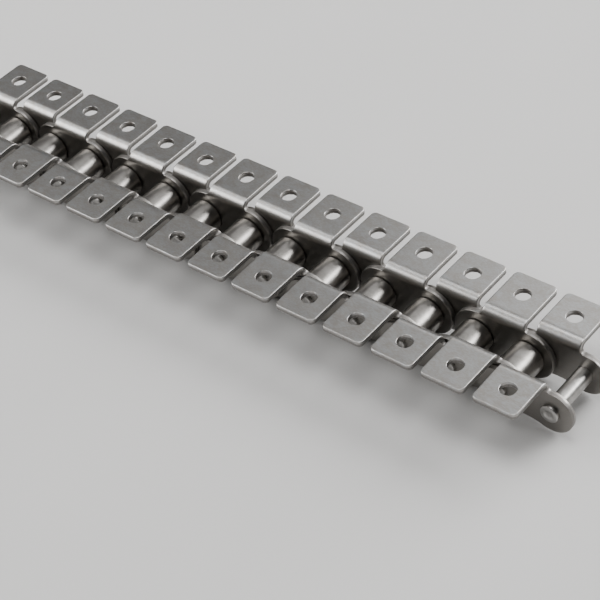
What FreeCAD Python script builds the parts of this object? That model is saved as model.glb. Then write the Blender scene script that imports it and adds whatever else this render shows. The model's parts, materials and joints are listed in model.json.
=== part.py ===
"""Roller chain, 3/4 inch pitch, with a bent lug on both plates of every link.

The chain lies straight along X with the pins along Y and the lugs on top. The origin is on the
surface that it lies on, below the middle of its length. All sizes are in millimetres.
"""
import FreeCAD
import Part
import Sketcher

import math
import os

LINKS = 14

SIZES = {
    "pitch": 19.05,
    "roller_gap": 12.7,
    "plate_thick": 2.0,
    "plate_play": 0.15,
    "inner_end_radius": 9.05,
    "outer_end_radius": 7.8,
    "inner_waist": 7.0,
    "outer_waist": 6.1,
    "neck_fillet": 1.2,
    "lug_length": 15.8,
    "lug_reach": 26.7,
    "lug_top": 11.9,
    "lug_corner": 1.8,
    "bend_radius": 1.5,
    "bolt_hole_radius": 2.75,
    "bolt_hole_reach": 18.3,
    "pin_radius": 2.98,
    "pin_length": 23.6,
    "pin_head_radius": 3.3,
    "pin_head_edge": 0.45,
    "pin_dimple_radius": 1.3,
    "pin_dimple_depth": 0.35,
    "pin_running_gap": 0.04,
    "bush_radius": 4.2,
    "roller_running_gap": 0.06,
    "roller_radius": 5.955,
    "roller_play": 0.1,
    "roller_edge": 0.4,
    "bush_edge": 0.2,
}

doc = FreeCAD.newDocument("roller_chain")
sheet = doc.addObject("Spreadsheet::Sheet", "sizes")


class Size:
    """A length with its value and the spreadsheet expression that gives it."""

    def __init__(self, value, text):
        self.value = value
        self.text = text

    def combine(self, other, sign, value):
        other_text = other.text if isinstance(other, Size) else repr(other)
        return Size(value, f"({self.text} {sign} {other_text})")

    def __add__(self, other):
        return self.combine(other, "+", self.value + number(other))

    def __sub__(self, other):
        return self.combine(other, "-", self.value - number(other))

    def __mul__(self, other):
        return self.combine(other, "*", self.value * number(other))

    def __truediv__(self, other):
        return self.combine(other, "/", self.value / number(other))

    def __neg__(self):
        return Size(-self.value, f"(0 - {self.text})")


def number(size):
    """The plain value of a Size or a number."""
    return size.value if isinstance(size, Size) else float(size)


def fill_sheet():
    """Write the driving dimensions into the spreadsheet and return them by name."""
    sizes = {}
    for row, (name, value) in enumerate(SIZES.items(), start=1):
        sheet.set(f"A{row}", name)
        sheet.set(f"B{row}", str(value))
        sheet.setAlias(f"B{row}", name)
        sizes[name] = Size(value, f"{sheet.Name}.{name}")
    doc.recompute()
    return sizes


size = fill_sheet()
half_pitch = size["pitch"] / 2
half_lug = size["lug_length"] / 2
bend_start = size["lug_top"] - size["plate_thick"] - size["bend_radius"]
inner_face = size["roller_gap"] / 2
inner_link_face = inner_face + size["plate_thick"]
outer_face = inner_link_face + size["plate_play"]
outer_link_face = outer_face + size["plate_thick"]
bush_bore = size["pin_radius"] + size["pin_running_gap"]
roller_bore = size["bush_radius"] + size["roller_running_gap"]

ORIGIN = -1
START, END, CENTRE = 1, 2, 3


class Drawing:
    """A sketch on one of a body's origin planes, with its dimensions bound to the spreadsheet."""

    def __init__(self, body, name, plane, offset=(None, None, None)):
        self.sketch = body.newObject("Sketcher::SketchObject", name)
        planes = {feature.Role: feature for feature in body.Origin.OriginFeatures}
        self.sketch.AttachmentSupport = (planes[plane], [""])
        self.sketch.MapMode = "FlatFace"
        for axis, shift in zip("xyz", offset):
            if shift is not None:
                self.sketch.setExpression(f"AttachmentOffset.Base.{axis}", shift.text)

    def rule(self, *arguments):
        """Add a geometric constraint."""
        return self.sketch.addConstraint(Sketcher.Constraint(*arguments))

    def dimension(self, kind, *arguments):
        """Add a dimension, whose last argument is its Size."""
        length = arguments[-1]
        index = self.rule(kind, *arguments[:-1], length.value)
        self.sketch.setExpression(f"Constraints[{index}]", length.text)

    def place(self, item, point, x, y):
        """Fix one point of an item at x, y."""
        self.dimension("DistanceX", ORIGIN, START, item, point, x)
        self.dimension("DistanceY", ORIGIN, START, item, point, y)

    def line(self, start, end):
        """Draw a line between two points."""
        points = [FreeCAD.Vector(number(x), number(y), 0) for x, y in (start, end)]
        return self.sketch.addGeometry(Part.LineSegment(*points))

    def arc(self, centre, radius, first, last):
        """Draw an arc that runs anticlockwise between two angles in degrees."""
        middle = FreeCAD.Vector(number(centre[0]), number(centre[1]), 0)
        circle = Part.Circle(middle, FreeCAD.Vector(0, 0, 1), number(radius))
        return self.sketch.addGeometry(Part.ArcOfCircle(circle, math.radians(first), math.radians(last)))

    def circle(self, x, y, radius):
        """Draw a circle with a fixed centre and radius."""
        middle = FreeCAD.Vector(number(x), number(y), 0)
        item = self.sketch.addGeometry(Part.Circle(middle, FreeCAD.Vector(0, 0, 1), number(radius)))
        self.place(item, CENTRE, x, y)
        self.dimension("Radius", item, radius)

    def polygon(self, corners):
        """Draw a closed outline of straight lines with every corner fixed."""
        lines = [self.line(a, b) for a, b in zip(corners, corners[1:] + corners[:1])]
        for item, following in zip(lines, lines[1:] + lines[:1]):
            self.rule("Coincident", item, END, following, START)
        for item, (x, y) in zip(lines, corners):
            self.place(item, START, x, y)


def new_body(name):
    """An empty body whose label is the name of its file."""
    body = doc.addObject("PartDesign::Body", name)
    body.Label = name
    return body


def angle(x, y):
    """The direction of a vector in degrees."""
    return math.degrees(math.atan2(number(y), number(x)))


def plate_outline(body, face, end_radius, waist, hole_radius):
    """The flat part of a link plate: two round ends, a waist below and a neck for the lug above."""
    drawing = Drawing(body, f"{body.Name}_outline", "XZ_Plane", (None, None, face))
    fillet = size["neck_fillet"]
    side = half_pitch - half_lug - fillet
    fillet_y = Size(math.sqrt(number(end_radius + fillet) ** 2 - side.value ** 2),
                    f"sqrt(({(end_radius + fillet).text})^2 - ({side.text})^2)")
    waist_radius = ((waist * waist + half_pitch * half_pitch - end_radius * end_radius)
                    / ((end_radius - waist) * 2))
    waist_y = -(waist + waist_radius)
    fillet_x = half_lug + fillet
    zero = Size(0.0, "0")

    right_end = drawing.arc((half_pitch, zero), end_radius,
                            angle(-half_pitch, waist_y), angle(-side, fillet_y))
    right_fillet = drawing.arc((fillet_x, fillet_y), fillet, 180, 360 + angle(side, -fillet_y))
    right_neck = drawing.line((half_lug, fillet_y), (half_lug, bend_start))
    top = drawing.line((half_lug, bend_start), (-half_lug, bend_start))
    left_neck = drawing.line((-half_lug, bend_start), (-half_lug, fillet_y))
    left_fillet = drawing.arc((-fillet_x, fillet_y), fillet, 360 + angle(-side, -fillet_y), 360)
    left_end = drawing.arc((-half_pitch, zero), end_radius,
                           angle(side, fillet_y), 360 + angle(half_pitch, waist_y))
    under = drawing.arc((zero, waist_y), waist_radius,
                        angle(half_pitch, -waist_y), angle(-half_pitch, -waist_y))

    drawing.rule("Tangent", right_end, END, right_fillet, END)
    drawing.rule("Tangent", right_fillet, START, right_neck, START)
    drawing.rule("Coincident", right_neck, END, top, START)
    drawing.rule("Coincident", top, END, left_neck, START)
    drawing.rule("Tangent", left_neck, END, left_fillet, END)
    drawing.rule("Tangent", left_fillet, START, left_end, START)
    drawing.rule("Tangent", left_end, END, under, END)
    drawing.rule("Tangent", under, START, right_end, START)
    drawing.place(right_end, CENTRE, half_pitch, zero)
    drawing.place(left_end, CENTRE, -half_pitch, zero)
    drawing.dimension("Radius", right_end, end_radius)
    drawing.dimension("Radius", left_end, end_radius)
    drawing.dimension("Radius", right_fillet, fillet)
    drawing.dimension("Radius", left_fillet, fillet)
    drawing.place(top, START, half_lug, bend_start)
    drawing.place(top, END, -half_lug, bend_start)
    drawing.rule("Vertical", right_neck)
    drawing.rule("Vertical", left_neck)
    drawing.dimension("Radius", under, waist_radius)
    for x in (half_pitch, -half_pitch):
        drawing.circle(x, zero, hole_radius)
    return drawing.sketch


def bend_profile(body, face):
    """The section of the lug: a quarter bend out of the plate and a flat that runs outwards."""
    drawing = Drawing(body, f"{body.Name}_bend", "YZ_Plane")
    back = -(face + size["plate_thick"])
    centre_y = back - size["bend_radius"]
    tip = -size["lug_reach"]
    under = bend_start + size["bend_radius"]
    outside = size["bend_radius"] + size["plate_thick"]

    root = drawing.line((-face, bend_start), (back, bend_start))
    inside_bend = drawing.arc((centre_y, bend_start), size["bend_radius"], 0, 90)
    underside = drawing.line((centre_y, under), (tip, under))
    end = drawing.line((tip, under), (tip, size["lug_top"]))
    upper = drawing.line((tip, size["lug_top"]), (centre_y, size["lug_top"]))
    outside_bend = drawing.arc((centre_y, bend_start), outside, 0, 90)

    drawing.rule("Coincident", root, END, inside_bend, START)
    drawing.rule("Tangent", inside_bend, END, underside, START)
    drawing.rule("Coincident", underside, END, end, START)
    drawing.rule("Coincident", end, END, upper, START)
    drawing.rule("Tangent", upper, END, outside_bend, END)
    drawing.rule("Coincident", outside_bend, START, root, START)
    drawing.place(root, START, -face, bend_start)
    drawing.place(root, END, back, bend_start)
    drawing.place(inside_bend, CENTRE, centre_y, bend_start)
    drawing.place(end, START, tip, under)
    drawing.place(end, END, tip, size["lug_top"])
    drawing.rule("Coincident", outside_bend, CENTRE, inside_bend, CENTRE)
    return drawing.sketch


def lug_corners(shape):
    """The names of the upright edges at the two outer corners of the lug."""
    names = []
    for index, edge in enumerate(shape.Edges, start=1):
        ends = [vertex.Point for vertex in edge.Vertexes]
        upright = len(ends) == 2 and abs(ends[0].z - ends[1].z) > size["plate_thick"].value / 2
        at_tip = all(abs(point.y + size["lug_reach"].value) < 1e-6 for point in ends)
        if upright and at_tip:
            names.append(f"Edge{index}")
    return names


def lug_plate(name, face, end_radius, waist, hole_radius):
    """A link plate on the front side, with its top bent outwards into a lug with one hole."""
    body = new_body(name)
    plate = body.newObject("PartDesign::Pad", f"{name}_plate")
    plate.Profile = plate_outline(body, face, end_radius, waist, hole_radius)
    plate.setExpression("Length", size["plate_thick"].text)

    lug = body.newObject("PartDesign::Pad", f"{name}_lug")
    lug.Profile = bend_profile(body, face)
    lug.SideType = "Symmetric"
    lug.setExpression("Length", size["lug_length"].text)
    doc.recompute()

    corners = body.newObject("PartDesign::Fillet", f"{name}_corners")
    corners.Base = (lug, lug_corners(lug.Shape))
    corners.setExpression("Radius", size["lug_corner"].text)

    circle = Drawing(body, f"{name}_hole_circle", "XY_Plane", (None, None, size["lug_top"]))
    circle.circle(Size(0.0, "0"), -size["bolt_hole_reach"], size["bolt_hole_radius"])
    hole = body.newObject("PartDesign::Pocket", f"{name}_hole")
    hole.Profile = circle.sketch
    hole.setExpression("Length", (size["plate_thick"] * 1.5).text)
    body.Tip = hole
    doc.recompute()
    drilled = math.pi * size["bolt_hole_radius"].value ** 2 * size["plate_thick"].value
    removed = corners.Shape.Volume - hole.Shape.Volume
    if abs(removed - drilled) > 0.01:
        raise RuntimeError(f"{name}: the hole removes {removed:.2f} mm3 in place of {drilled:.2f}")
    return body


def turned_pair(name, corners):
    """Two equal turned pieces on the link's two pin axes, from half of their section."""
    body = new_body(name)
    drawing = Drawing(body, f"{name}_section", "XY_Plane", (half_pitch, None, None))
    drawing.polygon(corners)
    turned = body.newObject("PartDesign::Revolution", f"{name}_turned")
    turned.Profile = drawing.sketch
    turned.ReferenceAxis = (drawing.sketch, ["V_Axis"])
    turned.Angle = 360
    doc.recompute()
    body.AllowCompound = True
    planes = {feature.Role: feature for feature in body.Origin.OriginFeatures}
    pair = body.newObject("PartDesign::Mirrored", f"{name}_pair")
    pair.Originals = [turned]
    pair.MirrorPlane = (planes["YZ_Plane"], [""])
    body.Tip = pair
    return body


def pin_pair(name):
    """Two pins, pressed into the outer plates and riveted over outside them."""
    zero = Size(0.0, "0")
    tip = size["pin_length"] / 2
    shank = size["pin_radius"]
    head = size["pin_head_radius"]
    edge = size["pin_head_edge"]
    half = [(shank, outer_link_face), (head, outer_link_face), (head, tip - edge), (head - edge, tip),
            (size["pin_dimple_radius"], tip), (zero, tip - size["pin_dimple_depth"])]
    other_half = [(x, -y) for x, y in reversed(half)]
    return turned_pair(name, half + other_half)


def bush_pair(name):
    """Two bushes, pressed into the inner plates and flush with their outer faces."""
    tip = inner_link_face
    bore = bush_bore
    edge = size["bush_edge"]
    outside = size["bush_radius"]
    half = [(outside, tip), (bore + edge, tip), (bore, tip - edge)]
    other_half = [(x, -y) for x, y in reversed(half)]
    return turned_pair(name, half + other_half)


def roller(name):
    """One roller, free to turn on its bush."""
    body = new_body(name)
    tip = inner_face - size["roller_play"]
    edge = size["roller_edge"]
    outside = size["roller_radius"]
    half = [(outside, tip - edge), (outside - edge, tip), (roller_bore, tip)]
    other_half = [(x, -y) for x, y in reversed(half)]
    drawing = Drawing(body, f"{name}_section", "XY_Plane")
    drawing.polygon(half + other_half)
    turned = body.newObject("PartDesign::Revolution", f"{name}_turned")
    turned.Profile = drawing.sketch
    turned.ReferenceAxis = (drawing.sketch, ["V_Axis"])
    turned.Angle = 360
    return body


def set_place(body, x, turned=False):
    """Put a body at x along the chain, turned half round for the rear side."""
    half_turn = FreeCAD.Rotation(FreeCAD.Vector(0, 0, 1), 180 if turned else 0)
    axis_height = size["inner_end_radius"].value
    body.Placement = FreeCAD.Placement(FreeCAD.Vector(x, 0, axis_height), half_turn)


def build_chain():
    """Every piece of the chain, link by link from the left end."""
    pitch = size["pitch"].value
    ends = size["inner_end_radius"].value + size["outer_end_radius"].value
    first_x = size["inner_end_radius"].value + pitch / 2 - (LINKS * pitch + ends) / 2
    pieces = []
    for index in range(LINKS):
        x = first_x + index * pitch
        link = f"{index + 1:02d}"
        inner = index % 2 == 0
        kind = "inner" if inner else "outer"
        for side in ("front", "rear"):
            name = f"link_{link}_{kind}_plate_{side}"
            if inner:
                plate = lug_plate(name, inner_face, size["inner_end_radius"], size["inner_waist"],
                                  size["bush_radius"])
            else:
                plate = lug_plate(name, outer_face, size["outer_end_radius"], size["outer_waist"],
                                  size["pin_radius"])
            set_place(plate, x, turned=side == "rear")
            pieces.append(plate)
        if inner:
            pieces.append(bush_pair(f"link_{link}_bushes"))
        else:
            pieces.append(pin_pair(f"link_{link}_pins"))
        set_place(pieces[-1], x)
        if inner:
            for side, shift in (("left", -pitch / 2), ("right", pitch / 2)):
                wheel = roller(f"link_{link}_roller_{side}")
                set_place(wheel, x + shift)
                pieces.append(wheel)
    return pieces


def check_and_write(pieces):
    """Stop on any failed object, then write one STEP file for each piece."""
    doc.recompute()
    for item in doc.Objects:
        if "Invalid" in item.State or "Error" in item.State:
            raise RuntimeError(f"{item.Label}: {item.State}")
    for piece in pieces:
        if piece.Shape.isNull() or not piece.Shape.isValid():
            raise RuntimeError(f"{piece.Label}: bad shape")
    os.makedirs("parts", exist_ok=True)
    for piece in pieces:
        piece.Shape.exportStep(f"parts/{piece.Label}.step")
        print(f"{piece.Label}: {len(piece.Shape.Solids)} solid, {piece.Shape.Volume:.1f} mm3")


check_and_write(build_chain())
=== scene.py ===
# %% [markdown]
# # A roller chain whose link plates are bent out into lugs
#
# A roller chain alternates two kinds of link. An inner link is two plates pressed onto two bushes,
# with a roller free on each bush. An outer link is two plates pressed onto two pins, and the pins run
# in the bushes of its neighbours. Here every plate has a lug at its top, bent outwards at a right
# angle, with one bolt hole, so that slats or carriers can be bolted along both sides of the chain.
#
# The lengths, the places and the joints were settled in CAD. This script loads that model as a fixed
# frame and makes finer pieces that stand in the same places: stamped and bent sheet with rolled
# edges, and turned pieces with worked ends.

# %% Load the fixed frame
import json
import math
import random

import bpy
from mathutils import Matrix, Vector
from mathutils.geometry import delaunay_2d_cdt


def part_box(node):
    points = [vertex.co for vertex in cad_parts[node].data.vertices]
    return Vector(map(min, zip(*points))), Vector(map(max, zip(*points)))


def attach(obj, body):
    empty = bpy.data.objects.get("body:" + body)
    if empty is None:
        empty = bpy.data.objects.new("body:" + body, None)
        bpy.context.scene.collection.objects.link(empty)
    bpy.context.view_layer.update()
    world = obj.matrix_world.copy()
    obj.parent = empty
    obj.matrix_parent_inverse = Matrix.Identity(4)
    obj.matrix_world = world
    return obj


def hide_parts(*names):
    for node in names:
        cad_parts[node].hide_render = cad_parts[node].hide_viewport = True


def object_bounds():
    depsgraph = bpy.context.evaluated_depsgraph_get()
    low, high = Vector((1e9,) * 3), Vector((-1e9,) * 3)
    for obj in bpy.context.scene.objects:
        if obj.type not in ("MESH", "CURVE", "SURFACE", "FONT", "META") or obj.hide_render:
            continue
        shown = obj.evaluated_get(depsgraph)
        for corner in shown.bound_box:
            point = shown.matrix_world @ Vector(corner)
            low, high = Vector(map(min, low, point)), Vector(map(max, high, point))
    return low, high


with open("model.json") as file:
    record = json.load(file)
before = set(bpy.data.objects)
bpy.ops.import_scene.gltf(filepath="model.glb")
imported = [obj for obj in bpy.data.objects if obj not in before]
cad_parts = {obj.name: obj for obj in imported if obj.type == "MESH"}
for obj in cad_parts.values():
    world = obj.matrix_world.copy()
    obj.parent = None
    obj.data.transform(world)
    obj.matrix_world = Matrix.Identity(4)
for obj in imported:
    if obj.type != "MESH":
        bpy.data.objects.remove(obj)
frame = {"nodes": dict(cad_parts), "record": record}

cad_low, cad_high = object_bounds()
bodies = frame["record"]["behaviour"]["bodies"]

# %% [markdown]
# ## What the frame says about sizes
#
# Anything that the CAD boxes can tell is read from them, so that a finer piece always fits the node
# that it stands for. The front plates give the face distances, the lug's reach and the height of its
# top. The pins give the height of the pin axis. The bushes end flush with the inner plates, so their
# length gives the thickness of the sheet. What no box shows, such as the radius of a corner, is
# written down as a length of its own.

# %% Sizes from the frame
MM = 0.001

inner_low, inner_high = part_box("link_01_inner_plate_front")
outer_low, outer_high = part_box("link_02_outer_plate_front")
bush_low, bush_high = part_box("link_01_bushes")
pin_low, pin_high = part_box("link_02_pins")
roller_low, roller_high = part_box("link_01_roller_left")

axis_height = (pin_low.z + pin_high.z) / 2
pitch = (outer_low.x + outer_high.x - inner_low.x - inner_high.x) / 2
sheet = bush_high.y + inner_high.y
lug_top = inner_high.z - axis_height
lug_reach = -inner_low.y
inner_face = -inner_high.y
outer_face = -outer_high.y
inner_end_radius = axis_height - inner_low.z
outer_end_radius = axis_height - outer_low.z
print("pitch %.2f, sheet %.2f, axis height %.2f, lug top %.2f mm"
      % (pitch / MM, sheet / MM, axis_height / MM, lug_top / MM))

# %% Sizes that no box shows
lug_length = 15.8 * MM
lug_corner = 1.8 * MM
bolt_hole_radius = 2.75 * MM
bolt_hole_reach = 18.3 * MM
inner_waist = 7.0 * MM
outer_waist = 6.1 * MM
neck_fillet = 1.2 * MM
bend_inside = 1.5 * MM
pin_radius = 2.98 * MM
bush_bore = 3.02 * MM
roller_bore = 4.26 * MM

bend_start = lug_top - sheet - bend_inside
bend_middle = bend_inside + sheet / 2
bend_length = math.pi / 2 * bend_middle
print("bend starts %.2f mm above the pin axis and takes %.2f mm of sheet"
      % (bend_start / MM, bend_length / MM))

# %% [markdown]
# ## Camera
#
# The camera comes first, because everything is judged through it. It stands in front of the chain and
# to its right, some 42 degrees up, with a long lens, so that the links hardly shrink with distance. It
# is rolled a little, which lets the chain run down across the frame. The direction, the distance and
# the roll are turned into a matrix by hand, because a Track To constraint couldn't hold the roll.

# %% Place the camera
CAMERA_TURN = math.radians(44.99)
CAMERA_RISE = math.radians(42.29)
CAMERA_ROLL = math.radians(-9.12)
CAMERA_DISTANCE = 568.5 * MM
CAMERA_TARGET = Vector((46.57 * MM, -20.90 * MM, cad_high.z))
CAMERA_LENS = 106.8


def axes_matrix(right, up, back, place):
    """A matrix whose columns are an object's own X, Y and Z, and its place."""
    matrix = Matrix((right, up, back)).transposed().to_4x4()
    matrix.translation = place
    return matrix


def place_camera():
    """Stands the camera off the target by its turn, rise and distance, rolled about its line of sight."""
    back = Vector((math.sin(CAMERA_TURN) * math.cos(CAMERA_RISE),
                   -math.cos(CAMERA_TURN) * math.cos(CAMERA_RISE),
                   math.sin(CAMERA_RISE)))
    level = (-back).cross(Vector((0, 0, 1))).normalized()
    upright = back.cross(level)
    right = level * math.cos(CAMERA_ROLL) + upright * math.sin(CAMERA_ROLL)
    up = upright * math.cos(CAMERA_ROLL) - level * math.sin(CAMERA_ROLL)
    lens = bpy.data.cameras.new("studio camera")
    lens.lens = CAMERA_LENS
    lens.sensor_width = 36
    lens.clip_start = 0.01
    camera = bpy.data.objects.new("studio camera", lens)
    bpy.context.scene.collection.objects.link(camera)
    camera.matrix_world = axes_matrix(right, up, back, CAMERA_TARGET + back * CAMERA_DISTANCE)
    bpy.context.scene.camera = camera
    return camera


camera = place_camera()
print("camera at", [round(x, 3) for x in camera.matrix_world.translation])

# %% [markdown]
# ## A way to write node trees as sums
#
# Materials and Geometry Nodes are both trees of nodes. Placing each Math node by hand hides the sum
# that it works out, so a small class wraps a socket: `mask * 0.3 + 0.1` then adds the two Math nodes
# by itself. Every other kind of node comes from one method, which takes the node's type, its settings,
# and the values or wires of its sockets.

# %% The Wire class
class Wire:
    """An output socket that can take part in Python sums."""

    def __init__(self, tree, socket=None):
        self.tree = tree
        self.socket = socket

    def node(self, kind, settings=None, sockets=None, out=0):
        """Adds a node: settings first, then its sockets by name or number. Returns one output."""
        made = self.tree.nodes.new(kind)
        for name, value in (settings or {}).items():
            if name == "stops":
                self.fill_ramp(made.color_ramp, value)
            else:
                setattr(made, name, value)
        for key, value in (sockets or {}).items():
            if isinstance(value, Wire):
                self.tree.links.new(value.socket, made.inputs[key])
            else:
                made.inputs[key].default_value = value
        return Wire(self.tree, made.outputs[out]) if made.outputs else made

    @staticmethod
    def fill_ramp(ramp, stops):
        """Gives a colour ramp its stops, each a place and a colour."""
        while len(ramp.elements) < len(stops):
            ramp.elements.new(1.0)
        for element, (place, colour) in zip(ramp.elements, stops):
            element.position = place
            element.color = colour

    def output(self, name):
        """Another output of the same node."""
        return Wire(self.tree, self.socket.node.outputs[name])

    def maths(self, operation, *values):
        return self.node("ShaderNodeMath", {"operation": operation}, dict(enumerate(values)))

    def __add__(self, other):
        return self.maths("ADD", self, other)

    def __radd__(self, other):
        return self.maths("ADD", other, self)

    def __sub__(self, other):
        return self.maths("SUBTRACT", self, other)

    def __rsub__(self, other):
        return self.maths("SUBTRACT", other, self)

    def __mul__(self, other):
        return self.maths("MULTIPLY", self, other)

    def __rmul__(self, other):
        return self.maths("MULTIPLY", other, self)

    def __truediv__(self, other):
        return self.maths("DIVIDE", self, other)

    def __rtruediv__(self, other):
        return self.maths("DIVIDE", other, self)

    def __abs__(self):
        return self.maths("ABSOLUTE", self)

    def over(self, low, high):
        """0 below low, 1 above high, and an even S-curve between."""
        return self.node("ShaderNodeMapRange", {"interpolation_type": "SMOOTHSTEP"},
                         {"Value": self, "From Min": low, "From Max": high})


print("Wire ready")

# %% [markdown]
# ## Steel finishes
#
# All the pieces are the same stainless steel, but each was worked in its own way, and that is what
# tells them apart. The plates were stamped from cold-rolled strip, bent, and tumbled in a barrel of
# abrasive: their faces are satin, a little cloudy, with fine short scratches. Their cut edges show
# how a punch goes through sheet: a rolled-over lip, a burnished band, and a rough torn band. The
# rollers, the bushes and the pins were turned, so fine rings go round them.
#
# A pattern that read the place in the world would slide over a bent lug and repeat the same on every
# link. So each piece carries its own coordinates from before it was bent and set in place, under the
# name "own", and a number "tone" from 0 to 1 that sets it apart from its neighbours.

# %% Coordinates and patterns that the finishes share
TONE_SHIFT = {"X": 37.0, "Y": 11.0, "Z": 53.0}


def carried(bench, name, out="Fac"):
    """An attribute that the piece carries."""
    return bench.node("ShaderNodeAttribute", {"attribute_name": name}, out=out)


def own_place(bench, stretch):
    """The piece's own coordinates in millimetres, shifted by its tone and stretched along each axis."""
    own = carried(bench, "own", "Vector")
    tone = carried(bench, "tone")
    shift = bench.node("ShaderNodeCombineXYZ", {}, {axis: tone * far for axis, far in TONE_SHIFT.items()})
    in_mm = bench.node("ShaderNodeVectorMath", {"operation": "SCALE"}, {0: own, "Scale": 1 / MM})
    moved = bench.node("ShaderNodeVectorMath", {"operation": "ADD"}, {0: in_mm, 1: shift})
    return bench.node("ShaderNodeVectorMath", {"operation": "MULTIPLY"}, {0: moved, 1: stretch})


def cloud(bench, stretch, detail=2.0, rough=0.5):
    """Smooth noise about 0.5; stretch says how many features go into a millimetre along each axis."""
    place = own_place(bench, stretch)
    return bench.node("ShaderNodeTexNoise", {}, {
        "Vector": place, "Scale": 1.0, "Detail": detail, "Roughness": rough}, out="Fac")


def scratches(bench, stretch, turn, width):
    """Fine lines, 1 on a line: the places where noise drawn out along one direction crosses its middle."""
    place = bench.node("ShaderNodeVectorRotate", {"rotation_type": "Y_AXIS"},
                       {"Vector": own_place(bench, (1, 1, 1)), "Angle": math.radians(turn)})
    drawn = bench.node("ShaderNodeVectorMath", {"operation": "MULTIPLY"}, {0: place, 1: stretch})
    noise = bench.node("ShaderNodeTexNoise", {}, {
        "Vector": drawn, "Scale": 1.0, "Detail": 1.0}, out="Fac")
    return 1.0 - abs(noise - 0.5).over(0.0, width)


def mixed(bench, share, dark, light):
    """A colour between two others."""
    return bench.node("ShaderNodeMix", {"data_type": "RGBA"}, {0: share, 6: dark, 7: light}, out=2)


def finished(name, base, rough, height, lift):
    """A metal material from its base colour, its roughness and a height for Bump of full depth lift."""
    material = bpy.data.materials.new(name)
    material.use_nodes = True
    material.node_tree.nodes.clear()
    bench = Wire(material.node_tree)
    bump = bench.node("ShaderNodeBump", {}, {
        "Height": height(bench), "Strength": 1.0, "Distance": lift})
    metal = bench.node("ShaderNodeBsdfPrincipled", {}, {
        "Base Color": base(bench), "Roughness": rough(bench), "Metallic": 1.0, "Normal": bump})
    bench.node("ShaderNodeOutputMaterial", {}, {"Surface": metal})
    print("finish", name, "with", len(material.node_tree.nodes), "nodes")
    return material


# %% [markdown]
# ### Tumbled sheet
#
# The attribute "depth" goes from 0 on the rolled-over face to 1 on the face that the punch left, so
# anything between is cut edge. The burnished band comes first, and the torn band takes over where a
# wavy line crosses the middle of the thickness. Below the bend the plate is darkened with painted
# shade, for the shade that falls under the lugs and between the plates; it fades out up the bend, so
# the lugs stay lighter.

# %% Tumbled sheet for the plates
WARM_SHEET = (0.425, 0.398, 0.368, 1)
COOL_SHEET = (0.500, 0.508, 0.510, 1)
# Painted shade: the dark colour that the plate body below the bend is mixed toward.
PAINTED_SHADE_SHEET = (0.235, 0.222, 0.205, 1)
TORN_SHEET = (0.20, 0.19, 0.18, 1)
SHEET_GLOSS = 0.26
SHEET_RELIEF = 0.004 * MM
SCRATCH_WIDTH = 0.02

# Shares of the thickness: where the cut edge begins and ends, and where it starts to tear.
EDGE_BEGINS = (0.10, 0.20)
EDGE_ENDS = (0.90, 0.98)
TEAR_BEGINS = (0.48, 0.62)

# The painted shade fades out between these heights up the bend.
PAINTED_SHADE_FADES = (bend_start + 0.1 * bend_length, bend_start + 0.75 * bend_length)


def cut_edge(bench):
    """1 on the cut edge and 0 on the two faces."""
    depth = carried(bench, "depth")
    return depth.over(*EDGE_BEGINS) * (1.0 - depth.over(*EDGE_ENDS))


def torn_band(bench):
    """1 on the torn part of the cut edge."""
    wave = cloud(bench, (0.8, 0.8, 0.8)) * 0.25
    return cut_edge(bench) * (carried(bench, "depth") + wave).over(*TEAR_BEGINS)


def painted_shade_mask(bench):
    """Painted shade under the lugs: 1 on the body of a plate, fading out up the bend to 0 on the lug, and
    weaker on a cut edge.
    """
    height = bench.node("ShaderNodeSeparateXYZ", {}, {0: carried(bench, "own", "Vector")}, out="Z")
    return (1.0 - height.over(*PAINTED_SHADE_FADES)) * (1.0 - cut_edge(bench) * 0.55)


def fine_scratches(bench):
    """Two sets of short scratches, one nearly along the chain and one nearly up the sheet."""
    return (scratches(bench, (0.25, 1.0, 5.0), 12, SCRATCH_WIDTH)
            + scratches(bench, (4.0, 1.0, 0.3), -20, SCRATCH_WIDTH))


def sheet_colour(bench):
    broad = cloud(bench, (0.25, 0.25, 0.5), 2.0)
    small = cloud(bench, (1.0, 1.0, 3.2), 3.0)
    patches = (broad * 0.35 + small * 0.65).over(0.34, 0.66)
    clouded = mixed(bench, patches, WARM_SHEET, COOL_SHEET)
    # Painted shade: the plate body below the bend is darkened toward the shade colour.
    with_painted_shade = mixed(bench, painted_shade_mask(bench) * 0.9, clouded, PAINTED_SHADE_SHEET)
    return mixed(bench, cut_edge(bench) * 0.3 + torn_band(bench) * 0.6, with_painted_shade, TORN_SHEET)


def sheet_roughness(bench):
    haze = cloud(bench, (0.35, 0.35, 0.35), 3.0)
    drawn = cloud(bench, (0.12, 1.0, 3.2), 2.0)
    lines = fine_scratches(bench)
    return SHEET_GLOSS + haze * 0.08 + drawn * 0.06 + lines * 0.05 + torn_band(bench) * 0.2


def sheet_height(bench):
    grain = cloud(bench, (0.8, 4.5, 4.5), 3.0)
    wave = cloud(bench, (0.45, 0.45, 0.45), 1.0)
    combed = cloud(bench, (6.0, 0.7, 6.0), 2.0) * cut_edge(bench)
    return grain * 0.12 + wave * 2.0 - fine_scratches(bench) * 0.03 + combed


tumbled_sheet = finished("tumbled stainless sheet", sheet_colour, sheet_roughness, sheet_height,
                         SHEET_RELIEF)

# %% [markdown]
# ### Turned steel
#
# A turned surface is the same noise drawn out round the piece, so that it only changes along the axis,
# which is each turned piece's own Y.

# %% Turned steel for rollers, bushes and pins
TURNED_RELIEF = 0.0012 * MM


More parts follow.
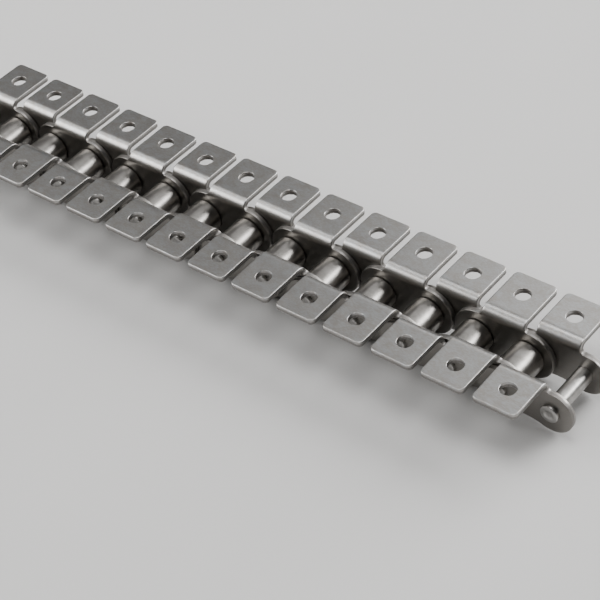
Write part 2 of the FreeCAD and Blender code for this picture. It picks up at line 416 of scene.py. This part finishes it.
def turned_finish(name, dark, light, low_rough, spread):
    """Rings round the piece's own Y axis, over a slow cloud."""
    def colour(bench):
        return mixed(bench, cloud(bench, (0.3, 0.5, 0.3), 3.0).over(0.3, 0.7), dark, light)

    def roughness(bench):
        rings = cloud(bench, (0.12, 7.0, 0.12), 3.0)
        return low_rough + rings * spread + cloud(bench, (0.5, 0.5, 0.5), 2.0) * 0.03

    def height(bench):
        return cloud(bench, (0.10, 6.0, 0.10), 3.0) + cloud(bench, (4.0, 4.0, 4.0), 2.0) * 0.3

    return finished(name, colour, roughness, height, TURNED_RELIEF)


roller_surface = turned_finish("turned roller steel", (0.31, 0.296, 0.278, 1),
                               (0.38, 0.366, 0.348, 1), 0.275, 0.03)
bush_surface = turned_finish("bush steel", (0.34, 0.33, 0.315, 1),
                             (0.42, 0.41, 0.395, 1), 0.28, 0.10)
pin_surface = turned_finish("riveted pin steel", (0.36, 0.35, 0.335, 1),
                            (0.46, 0.45, 0.435, 1), 0.28, 0.10)

# %% [markdown]
# ## The plate as a flat blank
#
# A plate starts as a flat blank from a punch and die. Its outline is drawn here as it would be in a
# die shop: two round ends about the pin holes, a waist below them, a neck with two small fillets, and
# the lug, standing straight up and as long as the finished lug and its bend need. The bend takes as
# much sheet as the arc at the middle of the thickness.
#
# The outline could be a filled curve with a bevel, but a curve's bevel is the same on both sides. A
# punched edge isn't: it is rolled over where the punch went in and crisp where it came out. So the
# edge is built in steps, each a small inset and depth, and the two faces are filled inside them.

# %% Arcs and the outline
def arc(middle, radius, start, end, step=0.45 * MM):
    """Points along an arc, angles in degrees, either way round, both ends included."""
    sweep = math.radians(end - start)
    count = max(3, math.ceil(abs(sweep) * radius / step))
    return [Vector((middle[0] + radius * math.cos(math.radians(start) + sweep * i / count),
                    middle[1] + radius * math.sin(math.radians(start) + sweep * i / count)))
            for i in range(count + 1)]


def run(start, end, step=1.6 * MM):
    """Points along a straight run, its own ends left out because the arcs hold them."""
    count = max(1, round((end - start).length / step))
    return [start.lerp(end, i / count) for i in range(1, count)]


def blank_outline(end_radius, waist, top):
    """The blank's outline, counter-clockwise from the middle of the waist. Pin holes are at height 0."""
    half = pitch / 2
    waist_radius = (waist ** 2 + half ** 2 - end_radius ** 2) / (2 * (end_radius - waist))
    waist_middle = -(waist + waist_radius)
    toward_waist = math.degrees(math.atan2(waist_middle, -half))
    fillet_x = lug_length / 2 + neck_fillet
    aside = half - fillet_x
    fillet_z = math.sqrt((end_radius + neck_fillet) ** 2 - aside ** 2)
    toward_fillet = math.degrees(math.atan2(fillet_z, -aside))
    corner_x = lug_length / 2 - lug_corner
    waist_turn = math.degrees(math.atan2(half, -waist_middle))
    right = arc((0, waist_middle), waist_radius, 90, 90 - waist_turn)[:-1]
    right += arc((half, 0), end_radius, toward_waist, toward_fillet)[:-1]
    right += arc((fillet_x, fillet_z), neck_fillet, toward_fillet - 180, -180, 0.2 * MM)
    right += run(Vector((lug_length / 2, fillet_z)), Vector((lug_length / 2, top - lug_corner)),
                 0.6 * MM)
    right += arc((corner_x, top - lug_corner), lug_corner, 0, 90, 0.3 * MM)
    right += run(Vector((corner_x, top)), Vector((0, top)))
    left = [Vector((-p.x, p.y)) for p in reversed(right[1:])]
    return right + [Vector((0, top))] + left


# %% Edges with a rolled side and a crisp side
# Each step is an inset and a depth in millimetres, for a sheet as thick as the last depth.
OUTER_EDGE = [(0.30, 0.0), (0.20, 0.014), (0.105, 0.055), (0.035, 0.13), (0.0, 0.25),
              (0.0, 0.8), (0.0, 1.4), (0.0, 1.88), (0.025, 1.955), (0.08, 2.0)]
HOLE_EDGE = [(0.22, 0.0), (0.14, 0.014), (0.07, 0.05), (0.02, 0.11), (0.0, 0.19),
             (0.0, 0.9), (0.0, 1.5), (0.0, 1.86), (0.03, 1.955), (0.09, 2.0)]


def inward(loop):
    """The unit vector at each point of a closed loop that points to the left of travel."""
    found = []
    for i, point in enumerate(loop):
        before = (point - loop[i - 1]).normalized()
        after = (loop[(i + 1) % len(loop)] - point).normalized()
        along = (before + after).normalized()
        found.append(Vector((-along.y, along.x)))
    return found


def edge_rings(loop, edge):
    """Rings of points from the rolled face to the crisp face, and the depth of each ring."""
    aim = inward(loop)
    scale = sheet / edge[-1][1]
    return [([p + n * inset * MM for p, n in zip(loop, aim)], depth * scale)
            for inset, depth in edge]


print("edge steps", len(OUTER_EDGE), "round the plate,", len(HOLE_EDGE), "round a hole")

# %% [markdown]
# Both faces are filled by a constrained Delaunay triangulation. Where the sheet will bend, extra
# points in close rows let it go round smoothly, and a looser grid keeps the triangles on the flat of
# the lug from growing long and thin.

# %% The blank as a mesh
BEND_ROWS = 9
LUG_COLUMNS = 10
LOOSE_STEP = 1.5 * MM
MOST_LOOSE_ROWS = 40
SIDE_MARGIN = 0.7 * MM
TOP_MARGIN = 1.2 * MM
HOLE_MARGIN = 0.8 * MM
HOLE_STEP = 0.5 * MM
TIP_ROOM = 0.02 * MM
TRIANGLES_INSIDE = 1
SAME_PLACE = 1e-9


def grid_points(top, holes):
    """Loose points for the lug, in close rows where the sheet will bend."""
    rows = [bend_start + bend_length * (i - 1) / BEND_ROWS for i in range(BEND_ROWS + 3)]
    loose = [rows[-1] + LOOSE_STEP * i for i in range(1, MOST_LOOSE_ROWS)]
    rows += [row for row in loose if row < top - TOP_MARGIN]
    wide = lug_length / 2 - SIDE_MARGIN
    points = []
    for row in rows:
        for i in range(LUG_COLUMNS + 1):
            point = Vector((-wide + 2 * wide * i / LUG_COLUMNS, row))
            clear = all((point - middle).length > radius + HOLE_MARGIN for middle, radius in holes)
            inside_corner = point.y < top - lug_corner or abs(point.x) < lug_length / 2 - lug_corner
            if clear and inside_corner:
                points.append(point)
    return points


def face_triangles(loops, holes, extra):
    """Triangles between an outer loop and hole loops, as numbers into their points and the extra."""
    points, edges = [], []
    for loop in loops:
        first = len(points)
        points += loop
        edges += [(first + i, first + (i + 1) % len(loop)) for i in range(len(loop))]
    whole = delaunay_2d_cdt(points + extra, edges, [], TRIANGLES_INSIDE, SAME_PLACE)
    assert len(whole[0]) == len(points) + len(extra)
    kept = []
    for triangle in whole[2]:
        middle = sum((whole[0][i] for i in triangle), Vector((0, 0))) / 3
        if all((middle - centre).length > radius for centre, radius in holes):
            kept.append([whole[3][i][0] for i in triangle])
    return kept


def make_blank(name, end_radius, waist, pin_hole, face):
    """A flat blank, upright in X and Z, with its rolled face at Y 0 and its thickness toward -Y."""
    bend_reach = face + sheet + bend_inside
    top = bend_start + bend_length + lug_reach - bend_reach - TIP_ROOM
    bolt_height = bend_start + bend_length + bolt_hole_reach - bend_reach
    holes = [(Vector((pitch / 2, 0)), pin_hole), (Vector((-pitch / 2, 0)), pin_hole),
             (Vector((0, bolt_height)), bolt_hole_radius)]
    stacks = [edge_rings(blank_outline(end_radius, waist, top), OUTER_EDGE)]
    for middle, radius in holes:
        stacks.append(edge_rings(arc(middle, radius, 360, 0, HOLE_STEP)[:-1], HOLE_EDGE))
    vertices, depths, faces, first_ring, last_ring = [], [], [], [], []
    for stack in stacks:
        count = len(stack[0][0])
        start = len(vertices)
        first_ring.append(range(start, start + count))
        for ring, depth in stack:
            vertices += [(p.x, -depth, p.y) for p in ring]
            depths += [depth / sheet] * count
        last_ring.append(range(len(vertices) - count, len(vertices)))
        for r in range(len(stack) - 1):
            for i in range(count):
                a, b = start + r * count + i, start + r * count + (i + 1) % count
                faces.append((a, b, b + count, a + count))
    extra = grid_points(top, holes)
    for rings, flip in ((first_ring, True), (last_ring, False)):
        numbers = [i for ring in rings for i in ring]
        level = vertices[numbers[0]][1]
        numbers += range(len(vertices), len(vertices) + len(extra))
        vertices += [(p.x, level, p.y) for p in extra]
        depths += [-level / sheet] * len(extra)
        loops = [[Vector((vertices[i][0], vertices[i][2])) for i in ring] for ring in rings]
        for triangle in face_triangles(loops, holes, extra):
            corners = [numbers[i] for i in triangle]
            faces.append(tuple(reversed(corners)) if flip else tuple(corners))
    mesh = bpy.data.meshes.new(name)
    mesh.from_pydata(vertices, [], faces)
    mesh.attributes.new("depth", "FLOAT", "POINT").data.foreach_set("value", depths)
    mesh.validate()
    mesh.shade_smooth()
    print(name, "top %.2f mm," % (top / MM),
          len(mesh.vertices), "points,", len(mesh.polygons), "faces")
    return mesh


inner_blank = make_blank("inner plate blank", inner_end_radius, inner_waist,
                         (bush_high.z - bush_low.z) / 2, inner_face)
outer_blank = make_blank("outer plate blank", outer_end_radius, outer_waist, pin_radius, outer_face)

# %% [markdown]
# ## The press brake, as Geometry Nodes
#
# Bending is a rule, so a Geometry Nodes tree does it: every plate is the same blank, bent and set on
# its link. Below the bend the sheet stays upright. Across the bend, the distance along the sheet turns
# into an angle, and a point's distance from the centre of the bend is the inside radius plus how far
# it lies from the inside face. Past the bend the sheet runs straight out again. The round ends next to
# the neck are held between the jaws, so the bend fades out across the two neck fillets. Each lug
# springs by a fraction of a degree of its own, as sheet does when the tool lets go.

# %% Tree helpers
def new_tree(name, inputs):
    """An empty Geometry Nodes tree with a geometry in and out and the named inputs."""
    tree = bpy.data.node_groups.new(name, "GeometryNodeTree")
    tree.interface.new_socket("Geometry", in_out="OUTPUT", socket_type="NodeSocketGeometry")
    tree.interface.new_socket("Geometry", in_out="INPUT", socket_type="NodeSocketGeometry")
    for label, kind in inputs:
        tree.interface.new_socket(label, in_out="INPUT", socket_type="NodeSocket" + kind)
    bench = Wire(tree)
    given = bench.node("NodeGroupInput")
    return tree, bench, given


def end_tree(bench, given, geometry):
    """Ends a tree as the export needs: real geometry, with its material set."""
    real = bench.node("GeometryNodeRealizeInstances", {}, {"Geometry": geometry})
    coated = bench.node("GeometryNodeSetMaterial", {}, {
        "Geometry": real, "Material": given.output("Finish")})
    bench.node("NodeGroupOutput", {}, {"Geometry": coated})


def keep_attribute(bench, geometry, name, kind, value, domain="POINT"):
    """Stores a value on the geometry under a name that the finishes read."""
    return bench.node("GeometryNodeStoreNamedAttribute", {"data_type": kind, "domain": domain},
                      {"Geometry": geometry, "Name": name, "Value": value})


# %% The bending tree
def make_bending_tree():
    tree, bench, given = new_tree("bend a blank and set it on its link", [
        ("Face distance", "Float"), ("Link place", "Float"), ("Axis height", "Float"),
        ("Half turn", "Float"), ("Spring", "Float"), ("Bend start", "Float"), ("Bend inside", "Float"),
        ("Sheet", "Float"), ("Half lug", "Float"), ("Neck", "Float"), ("Tone", "Float"),
        ("Finish", "Material")])
    place = bench.node("GeometryNodeInputPosition")
    along = bench.node("ShaderNodeSeparateXYZ", {}, {0: place}, out="X")
    across = along.output("Y")
    height = along.output("Z")
    marked = keep_attribute(bench, given, "own", "FLOAT_VECTOR", place)
    marked = keep_attribute(bench, marked, "tone", "FLOAT", given.output("Tone"))

    inside = given.output("Bend inside")
    thickness = given.output("Sheet")
    middle = inside + thickness * 0.5
    past = height - given.output("Bend start")
    full_angle = given.output("Spring") + math.pi / 2
    angle = bench.node("ShaderNodeClamp", {}, {
        "Value": past / middle, "Min": 0.0, "Max": full_angle})
    radius = inside + thickness + across
    beyond = past.maths("MAXIMUM", past - full_angle * middle, 0.0)
    sine = angle.maths("SINE", angle)
    cosine = angle.maths("COSINE", angle)
    bent_across = radius * cosine - beyond * sine - (inside + thickness)
    bent_height = (given.output("Bend start") + past.maths("MINIMUM", past, 0.0)
                   + radius * sine + beyond * cosine)
    half_lug = given.output("Half lug")
    free = 1.0 - abs(along).over(half_lug, half_lug + given.output("Neck"))
    set_across = across + (bent_across - across) * free - given.output("Face distance")
    set_height = height + (bent_height - height) * free + given.output("Axis height")
    bent = bench.node("ShaderNodeCombineXYZ", {}, {"X": along, "Y": set_across, "Z": set_height})
    turned = bench.node("ShaderNodeVectorRotate", {"rotation_type": "Z_AXIS"}, {
        "Vector": bent, "Angle": given.output("Half turn") * math.pi})
    link_place = bench.node("ShaderNodeCombineXYZ", {}, {"X": given.output("Link place")})
    moved = bench.node("ShaderNodeVectorMath", {"operation": "ADD"}, {0: turned, 1: link_place})
    end_tree(bench, given, bench.node("GeometryNodeSetPosition", {}, {
        "Geometry": marked, "Position": moved}))
    return tree


bending_tree = make_bending_tree()
print("bending tree has", len(bending_tree.nodes), "nodes")

# %% [markdown]
# ## One way to make every piece
#
# A holder object gets the blank and a modifier with the tree. The inputs go in by the socket's
# identifier before anything is evaluated. Weighted Normal keeps the big flats flat right up to their
# small rounded edges. The evaluated result becomes a plain mesh, the modifiers go, the piece is tied
# to the body of its CAD node, and the CAD node is hidden.

# %% Turning a tree into a piece
body_of_node = {node: body for body, nodes in bodies.items() for node in nodes}


def make_piece(node, slot, start_mesh, tree, values):
    """Evaluates the tree on a mesh, ties the plain result to the CAD node's body and hides the CAD node.
    """
    piece = bpy.data.objects.new(node + "_finished", start_mesh)
    bpy.context.scene.collection.objects.link(piece)
    modifier = piece.modifiers.new("tree", "NODES")
    modifier.node_group = tree
    for item in tree.interface.items_tree:
        if item.in_out == "INPUT" and item.name in values:
            modifier[item.identifier] = values[item.name]
    evening = piece.modifiers.new("even shading", "WEIGHTED_NORMAL")
    evening.keep_sharp = True
    bpy.context.view_layer.update()
    graph = bpy.context.evaluated_depsgraph_get()
    plain = bpy.data.meshes.new_from_object(
        piece.evaluated_get(graph), preserve_all_data_layers=True, depsgraph=graph)
    plain.name = node + "_finished"
    piece.modifiers.clear()
    piece.data = plain
    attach(piece, body_of_node[node])
    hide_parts(node)
    return piece


# %% Bend and set all the plates
CHANCE_SEED = 60
MOST_SPRING = 0.7


def middle_x(node):
    """Where a node's middle lies along the chain."""
    low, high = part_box(node)
    return (low.x + high.x) / 2


chance = random.Random(CHANCE_SEED)
plates = []
for node in sorted(frame["nodes"]):
    if "plate" in node:
        inner = "inner" in node
        plates.append(make_piece(node, "inner_plate" if inner else "outer_plate",
                                 inner_blank if inner else outer_blank, bending_tree, {
            "Face distance": inner_face if inner else outer_face,
            "Link place": middle_x(node),
            "Axis height": axis_height,
            "Half turn": 1.0 if node.endswith("rear") else 0.0,
            "Spring": math.radians(chance.uniform(0.0, MOST_SPRING)),
            "Bend start": bend_start,
            "Bend inside": bend_inside,
            "Sheet": sheet,
            "Half lug": lug_length / 2,
            "Neck": neck_fillet,
            "Tone": chance.random(),
            "Finish": tumbled_sheet}))
print("plates", len(plates), "with", sum(len(p.data.polygons) for p in plates), "faces")

# %% [markdown]
# ## Turned pieces
#
# A roller, a bush and a pin are all one shape swept round an axis, so each is a short closed section:
# corners given by their distance along the axis and from it, with the radius that the tool left on
# each. A lathe helper spins the section about Y. The pins' ends were hammered over the plate: the head
# is a little wider than the pin, domed, with the small dimple of the riveting punch.

# %% The lathe
def soften(corners, steps=4):
    """Rounds the corners of a closed section; each corner is (along, out, radius)."""
    points = []
    for i, (along, out, radius) in enumerate(corners):
        here = Vector((along, out))
        if radius == 0:
            points.append(here)
            continue
        before = (Vector(corners[i - 1][:2]) - here).normalized()
        after = (Vector(corners[(i + 1) % len(corners)][:2]) - here).normalized()
        half = before.angle(after) / 2
        reach = radius / math.tan(half)
        middle = here + (before + after).normalized() * radius / math.sin(half)
        start, end = here + before * reach - middle, here + after * reach - middle
        sweep = start.angle_signed(end)
        points += [middle + Matrix.Rotation(-sweep * k / steps, 2) @ start for k in range(steps + 1)]
    return points


def lathe(name, section, segments):
    """Spins a section about Y. Points on the axis are shared, so the ends are closed."""
    vertices, rows, faces = [], [], []
    for point in section:
        if point.y < SAME_PLACE:
            vertices.append((0, point.x, 0))
            rows.append([len(vertices) - 1] * segments)
            continue
        rows.append(range(len(vertices), len(vertices) + segments))
        for s in range(segments):
            turn = 2 * math.pi * s / segments
            vertices.append((point.y * math.sin(turn), point.x, point.y * math.cos(turn)))
    closed = section[0].y > SAME_PLACE
    for r in range(len(rows) if closed else len(rows) - 1):
        one, two = rows[r], rows[(r + 1) % len(rows)]
        for s in range(segments):
            t = (s + 1) % segments
            faces.append(tuple(dict.fromkeys((one[s], one[t], two[t], two[s]))))
    mesh = bpy.data.meshes.new(name)
    mesh.from_pydata(vertices, [], faces)
    mesh.validate()
    mesh.shade_smooth()
    print(name, len(mesh.vertices), "points,", len(mesh.polygons), "faces")
    return mesh


# %% [markdown]
# One more tree sets turned pieces on their pin axes. A Mesh Line gives one point for each axis, a
# pitch apart, the piece is instanced on them with a turn of its own, and Realize Instances makes it
# real again.

# %% The tree that sets turned pieces on their axes
def make_setting_tree():
    tree, bench, given = new_tree("set turned pieces on their axes", [
        ("Count", "Int"), ("First axis", "Float"), ("Pitch", "Float"), ("Axis height", "Float"),
        ("Seed", "Int"), ("Finish", "Material")])
    start = bench.node("ShaderNodeCombineXYZ", {}, {"X": given.output("First axis"),
                                                    "Z": given.output("Axis height")})
    step = bench.node("ShaderNodeCombineXYZ", {}, {"X": given.output("Pitch")})
    axes = bench.node("GeometryNodeMeshLine", {"mode": "OFFSET"},
                      {"Count": given.output("Count"), "Start Location": start, "Offset": step})
    place = bench.node("GeometryNodeInputPosition")
    marked = keep_attribute(bench, given, "own", "FLOAT_VECTOR", place)
    luck = bench.node("FunctionNodeRandomValue", {"data_type": "FLOAT"},
                      {8: given.output("Seed")}, out=1)
    turn = bench.node("ShaderNodeCombineXYZ", {}, {"Y": luck * math.tau})
    placed = bench.node("GeometryNodeInstanceOnPoints", {}, {"Points": axes, "Instance": marked,
                                                             "Rotation": turn})
    end_tree(bench, given, keep_attribute(bench, placed, "tone", "FLOAT", luck, "INSTANCE"))
    return tree


setting_tree = make_setting_tree()
print("setting tree has", len(setting_tree.nodes), "nodes")

# %% Sections of the turned pieces
roller_radius = (roller_high.z - roller_low.z) / 2
bush_radius = (bush_high.z - bush_low.z) / 2
head_radius = (pin_high.z - pin_low.z) / 2



def tube_section(half_length, bore, radius, mouth, rim, steps=4):
    """The section of a tube, with a rounded mouth at each end of its bore and a rounded rim."""
    return soften([(-half_length, bore, mouth), (-half_length, radius, rim),
                   (half_length, radius, rim), (half_length, bore, mouth)], steps)


roller_section = tube_section(roller_high.y, roller_bore, roller_radius, 0.35 * MM, 0.7 * MM, 5)
bush_section = tube_section(bush_high.y, bush_bore, bush_radius, 0.25 * MM, 0.2 * MM)

# From the middle of the pin out: shank, shoulder, head, dome, lip of the dimple, its floor, its middle.
shoulder = outer_face + sheet
tip = pin_high.y
half_pin = soften([(0, pin_radius, 0),
                   (shoulder, pin_radius, 0),
                   (shoulder, head_radius, 0.1 * MM),
                   (tip - 0.10 * MM, head_radius - 0.12 * MM, 0.42 * MM),
                   (tip, 1.75 * MM, 0.5 * MM),
                   (tip - 0.34 * MM, 1.05 * MM, 0.3 * MM),
                   (tip - 0.38 * MM, 0, 0)])[1:]
pin_section = [Vector((-p.x, p.y)) for p in reversed(half_pin)] + half_pin

ROLLER_SEGMENTS = 72
SMALL_SEGMENTS = 48
roller_start = lathe("roller", roller_section, ROLLER_SEGMENTS)
bush_start = lathe("bush", bush_section, SMALL_SEGMENTS)
pin_start = lathe("pin", pin_section, SMALL_SEGMENTS)

# %% Set the rollers, bushes and pins
turned_pieces = []
for number, node in enumerate(sorted(frame["nodes"])):
    if "plate" in node:
        continue
    low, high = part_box(node)
    alone = "roller" in node
    if alone:
        slot, start_mesh, finish = "roller", roller_start, roller_surface
    elif "bushes" in node:
        slot, start_mesh, finish = "bush", bush_start, bush_surface
    else:
        slot, start_mesh, finish = "pin", pin_start, pin_surface
    turned_pieces.append(make_piece(node, slot, start_mesh, setting_tree, {
        "Count": 1 if alone else 2,
        "First axis": middle_x(node) if alone else middle_x(node) - pitch / 2,
        "Pitch": pitch,
        "Axis height": axis_height,
        "Seed": number,
        "Finish": finish}))
print("turned pieces", len(turned_pieces))

# %% [markdown]
# ## Floor and light
#
# The chain lies on a pale matt board between seven softboxes. Satin steel shows little but what it
# reflects, so most of them stand where one kind of surface mirrors them toward the camera: two behind
# for the flat lugs, two on the left for the bends of the far row, one on the right for the rollers.
# The one overhead lights the board. The large one low behind rakes across the lugs and lays the soft
# shadow out in front of the chain. The world adds a faint grey.

# %% The floor
FLOOR_REACH = 4.0
FIBRES_PER_METRE = 900.0
CLOUDS_PER_METRE = 9.0
DARK_BOARD = (0.63, 0.623, 0.614, 1)
LIGHT_BOARD = (0.66, 0.653, 0.644, 1)


def make_floor():
    corners = [(x * FLOOR_REACH, y * FLOOR_REACH, 0) for x, y in ((-1, -1), (1, -1), (1, 1), (-1, 1))]
    mesh = bpy.data.meshes.new("board")
    mesh.from_pydata(corners, [], [(0, 1, 2, 3)])
    floor = bpy.data.objects.new("board", mesh)
    bpy.context.scene.collection.objects.link(floor)
    material = bpy.data.materials.new("matt pale board")
    material.use_nodes = True
    material.node_tree.nodes.clear()
    bench = Wire(material.node_tree)
    place = bench.node("ShaderNodeTexCoord", {}, {}, out="Object")
    fibre = bench.node("ShaderNodeTexNoise", {}, {
        "Vector": place, "Scale": FIBRES_PER_METRE, "Detail": 3.0}, out="Fac")
    cloudy = bench.node("ShaderNodeTexNoise", {}, {
        "Vector": place, "Scale": CLOUDS_PER_METRE, "Detail": 2.0}, out="Fac")
    colour = mixed(bench, cloudy.over(0.3, 0.7) * 0.6 + fibre * 0.4, DARK_BOARD, LIGHT_BOARD)
    bump = bench.node("ShaderNodeBump", {}, {"Height": fibre, "Strength": 0.5, "Distance": 0.02 * MM})
    board = bench.node("ShaderNodeBsdfPrincipled", {}, {
        "Base Color": colour, "Roughness": 0.85, "Normal": bump})
    bench.node("ShaderNodeOutputMaterial", {}, {"Surface": board})
    mesh.materials.append(material)


make_floor()

# %% The lights
# Each softbox has a turn about Z and a rise in degrees, an edge in metres, and a power in watts.
SOFTBOX_DISTANCE = 2.0
SOFTBOXES = [("softbox overhead", 120, 88, 1.1, 22.5),
             ("softbox behind", 108, 38, 0.9, 3.8),
             ("softbox behind on the left", 142, 38, 1.2, 0.4),
             ("softbox low behind", 70, 26, 1.6, 52.0),
             ("softbox on the left", 176, 50, 0.9, 4.6),
             ("softbox left in front", 214, 33, 1.1, 25.0),
             ("softbox right", 41, 34, 0.55, 10.0)]


def softbox(name, turn, rise, size, power):
    """A square area light that faces the chain and that the camera doesn't see."""
    lamp = bpy.data.lights.new(name, "AREA")
    lamp.shape = "SQUARE"
    lamp.size = size
    lamp.energy = power
    box = bpy.data.objects.new(name, lamp)
    bpy.context.scene.collection.objects.link(box)
    turn, rise = math.radians(turn), math.radians(rise)
    toward = Vector((math.cos(turn) * math.cos(rise), math.sin(turn) * math.cos(rise), math.sin(rise)))
    box.location = toward * SOFTBOX_DISTANCE
    box.rotation_euler = (-toward).to_track_quat("-Z", "Y").to_euler()
    box.visible_camera = False


for lamp_facts in SOFTBOXES:
    softbox(*lamp_facts)

WORLD_GREY = (0.80, 0.79, 0.78, 1)
WORLD_STRENGTH = 0.08
world = bpy.data.worlds.new("studio")
bpy.context.scene.world = world
world.use_nodes = True
background = world.node_tree.nodes["Background"]
background.inputs["Color"].default_value = WORLD_GREY
background.inputs["Strength"].default_value = WORLD_STRENGTH
print("floor and", len(SOFTBOXES), "lights set")

# %% [markdown]
# ## The CAD box
#
# The box of the whole CAD model is printed in millimetres. The finer pieces may not be larger
# than the CAD model.

# %% Print the CAD box
print("CAD box   ", [round(x / MM, 2) for x in (*cad_low, *cad_high)])
